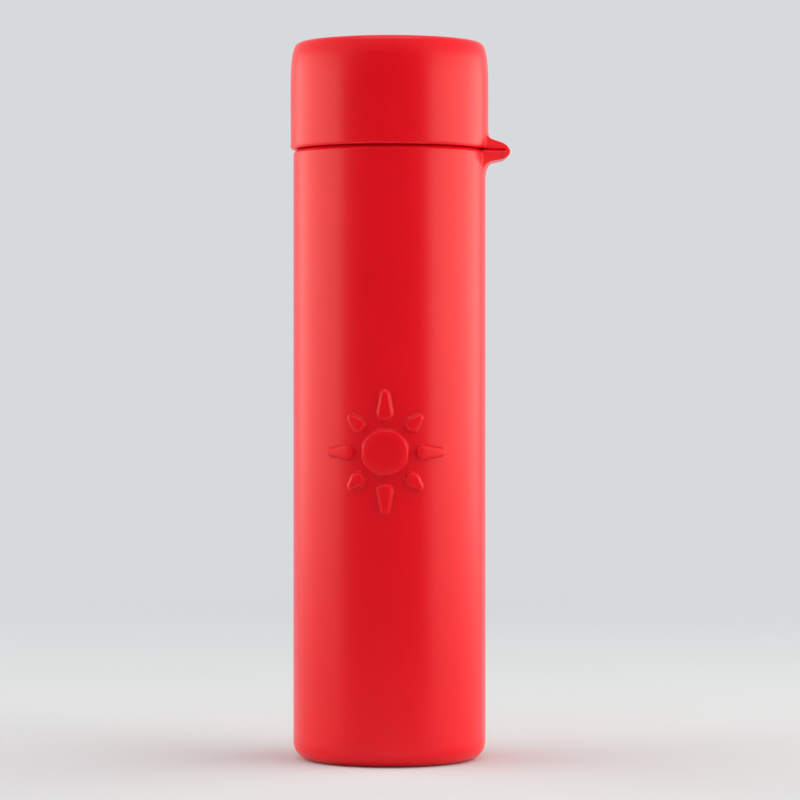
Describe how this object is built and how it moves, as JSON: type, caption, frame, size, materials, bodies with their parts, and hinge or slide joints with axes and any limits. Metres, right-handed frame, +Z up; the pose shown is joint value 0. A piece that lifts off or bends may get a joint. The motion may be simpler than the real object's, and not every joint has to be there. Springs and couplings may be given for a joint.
{
  "type": "rechargeable hand warmer",
  "caption": "Pocket hand warmer: heated tube in a soft red sleeve, with a tethered cap over its charging port and power button.",
  "frame": {"origin": "centre of the flat base that the sleeve stands on", "axes": "+Z up along the tube towards the cap; +X towards the strap; -Y is the front, with the raised motif"},
  "size_m": [0.0341, 0.0308, 0.1115],
  "materials": {
    "silicone": "matte",
    "anodised_aluminium": "satin",
    "black_abs": "matte",
    "frame_abs": "matte",
    "steel": "satin",
    "nickel": "satin",
    "seal_rubber": "matte",
    "foam": "matte",
    "electrode_roll": "matte",
    "gasket_plastic": "satin",
    "shrink_wrap": "gloss",
    "fish_paper": "matte",
    "insulation_felt": "matte",
    "polyimide_film": "gloss",
    "wire_white": "matte",
    "wire_red": "matte",
    "epoxy_bead": "gloss",
    "board_laminate": "satin",
    "chip_plastic": "matte",
    "ferrite": "matte",
    "ceramic": "satin",
    "led_resin": "gloss",
    "diffuser": "satin",
    "plunger_plastic": "satin"
  },
  "bodies": {
    "root": {"sleeve": "silicone", "heat_tube": "anodised_aluminium", "base_plug": "black_abs", "base_seal": "seal_rubber", "base_pad": "foam", "cell_can": "steel", "cell_roll": "electrode_roll", "cell_gasket": "gasket_plastic", "cell_terminal": "steel", "cell_wrap": "shrink_wrap", "cell_ring": "fish_paper", "cell_strip": "nickel", "terminal_tab": "nickel", "thermal_fuse": "chip_plastic", "heat_barrier": "insulation_felt", "heater_film": "polyimide_film", "heater_leads": "wire_white", "battery_leads": "wire_red", "thermistor": "epoxy_bead", "board_frame": "frame_abs", "frame_screws": "steel", "head_shell": "black_abs", "head_seal": "seal_rubber", "control_board": "board_laminate", "control_chip": "chip_plastic", "charge_chip": "chip_plastic", "power_coil": "ferrite", "capacitors": "ceramic", "status_leds": "led_resin", "usb_shell": "steel", "usb_tongue": "chip_plastic", "switch_body": "chip_plastic", "contact_dome": "nickel", "light_ring": "diffuser"},
    "strap": {"strap_fold": "silicone"},
    "cap": {"cap_shell": "silicone"},
    "button": {"power_button": "black_abs", "switch_plunger": "plunger_plastic"}
  },
  "joints": [
    {"name": "cap_lift", "type": "slide", "parent": "root", "child": "strap", "axis": [0, 0, 1], "range_m": [0, 0.004]},
    {"name": "cap_swing", "type": "hinge", "parent": "strap", "child": "cap", "pos_m": [0.0177, 0, 0.0947], "axis": [0, 1, 0], "range_deg": [0, 180], "deforming": ["strap_fold"]},
    {"name": "power_button", "type": "slide", "parent": "root", "child": "button", "axis": [0, 0, -1], "range_m": [0, 0.0005], "stiffness_N_per_m": 1200, "deforming": ["contact_dome"]}
  ]
}
